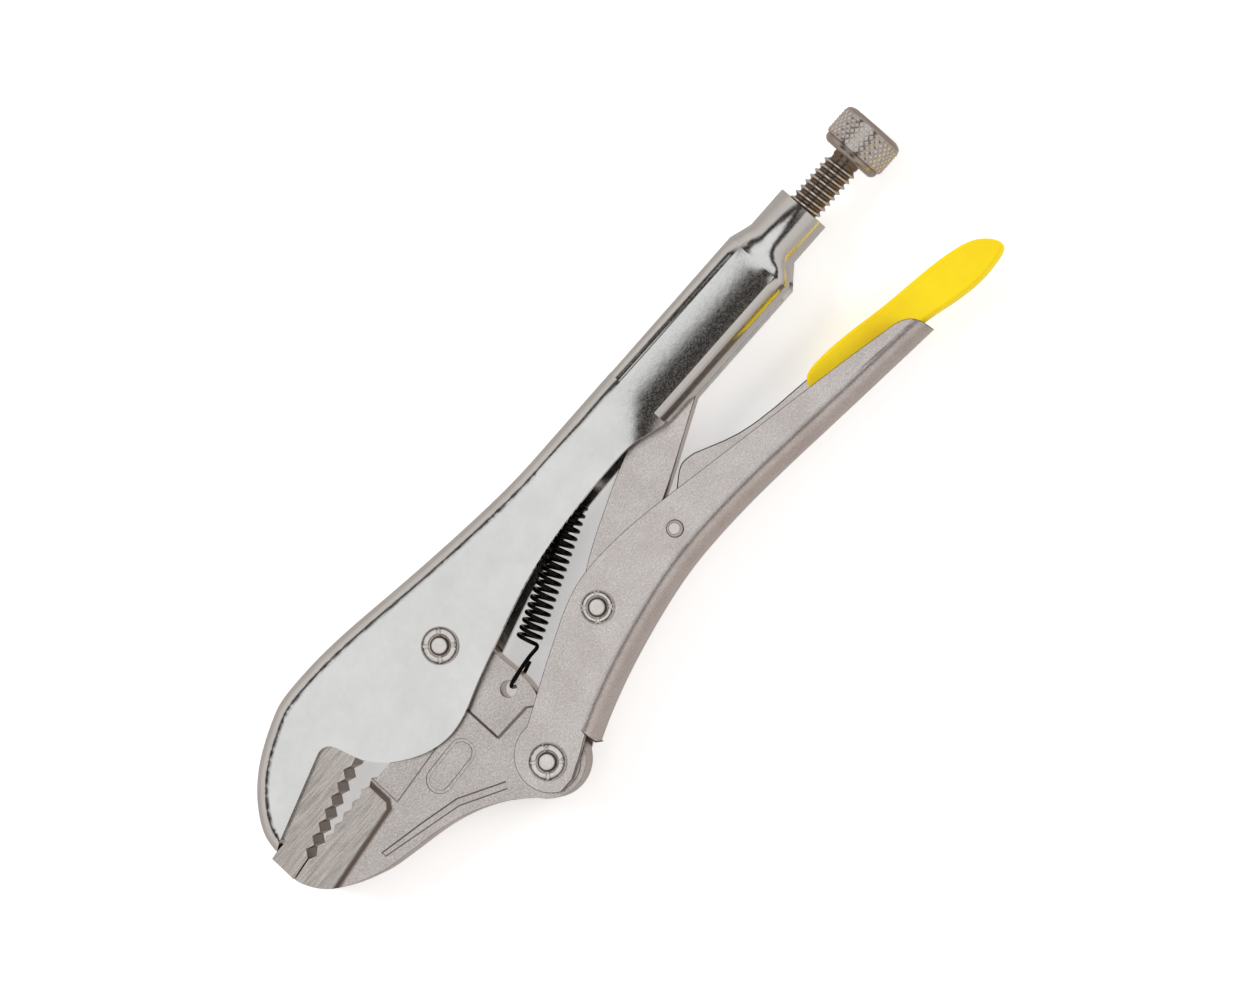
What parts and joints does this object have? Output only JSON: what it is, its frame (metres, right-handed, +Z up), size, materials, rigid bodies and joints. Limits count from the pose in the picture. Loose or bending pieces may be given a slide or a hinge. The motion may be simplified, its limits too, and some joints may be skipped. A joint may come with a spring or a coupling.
{
  "type": "locking pliers",
  "caption": "Locking pliers with toothed straight jaws, folded sheet handles, an adjusting screw, a toggle link and a release lever with a soft dipped grip.",
  "frame": {"origin": "under the middle of the tool's box, on the surface it lies on", "axes": "tool lies flat; +X along the handles toward the adjusting knob, +Y toward the fixed handle's spine, +Z up along the rivets"},
  "size_m": [0.225, 0.067, 0.0166],
  "materials": {
    "bright_nickel": "bright nickel plate over pressed sheet, faintly mottled",
    "satin_nickel": "satin nickel plate, fine grain",
    "forged_nickel": "nickel plate over a fine pebbled forging, ground nose faces",
    "ground_steel": "ground along the jaw",
    "rivet_steel": "peened, bright",
    "screw_steel": "darkened threads",
    "knurled_steel": "diamond knurl, satin",
    "spring_black": "black oxide, oiled",
    "yellow_vinyl": "smooth dipped vinyl"
  },
  "bodies": {
    "fixed_handle": {"upper_handle": "bright_nickel", "fixed_jaw": "ground_steel", "jaw_rivet": "rivet_steel", "spring_pin": "bright_nickel", "return_spring": "spring_black"},
    "moving_jaw": {"moving_jaw": "forged_nickel", "handle_rivet": "rivet_steel"},
    "moving_handle": {"lower_handle": "satin_nickel", "link_rivet": "rivet_steel", "lever_pin": "rivet_steel"},
    "toggle_link": {"toggle_link": "satin_nickel"},
    "release_lever": {"release_lever": "satin_nickel", "release_grip": "yellow_vinyl"},
    "screw_rod": {"adjusting_screw": "screw_steel"},
    "screw_knob": {"screw_knob": "knurled_steel"}
  },
  "joints": [
    {"name": "jaw_pivot", "type": "hinge", "parent": "fixed_handle", "child": "moving_jaw", "pos_m": [-0.04705, 0.01256, 0.0083], "axis": [0, 0, 1], "range_deg": [0, 20], "deforming": ["return_spring"]},
    {"name": "handle_pivot", "type": "hinge", "parent": "moving_jaw", "child": "moving_handle", "pos_m": [-0.04985, -0.02504, 0.0083], "axis": [0, 0, 1], "range_deg": [-53, 0]},
    {"name": "link_pivot", "type": "hinge", "parent": "moving_handle", "child": "toggle_link", "pos_m": [-0.01485, -0.00954, 0.0083], "axis": [0, 0, 1], "range_deg": [0, 58]},
    {"name": "lever_pivot", "type": "hinge", "parent": "moving_handle", "child": "release_lever", "pos_m": [0.01115, -0.01084, 0.0083], "axis": [0, 0, 1], "range_deg": [0, 4.5]},
    {"name": "screw_travel", "type": "slide", "parent": "fixed_handle", "child": "screw_rod", "axis": [1, 0, 0], "range_m": [0, 0.0102]},
    {"name": "knob_turn", "type": "hinge", "parent": "screw_rod", "child": "screw_knob", "pos_m": [0.10235, 0.01776, 0.0083], "axis": [1, 0, 0], "range_deg": [0, 2161]}
  ],
  "couplings": [
    {"joint": "handle_pivot", "follows": "jaw_pivot", "ratio": -2.65},
    {"joint": "link_pivot", "follows": "jaw_pivot", "ratio": 2.9},
    {"joint": "knob_turn", "follows": "screw_travel", "rad_per_m": 3696}
  ]
}
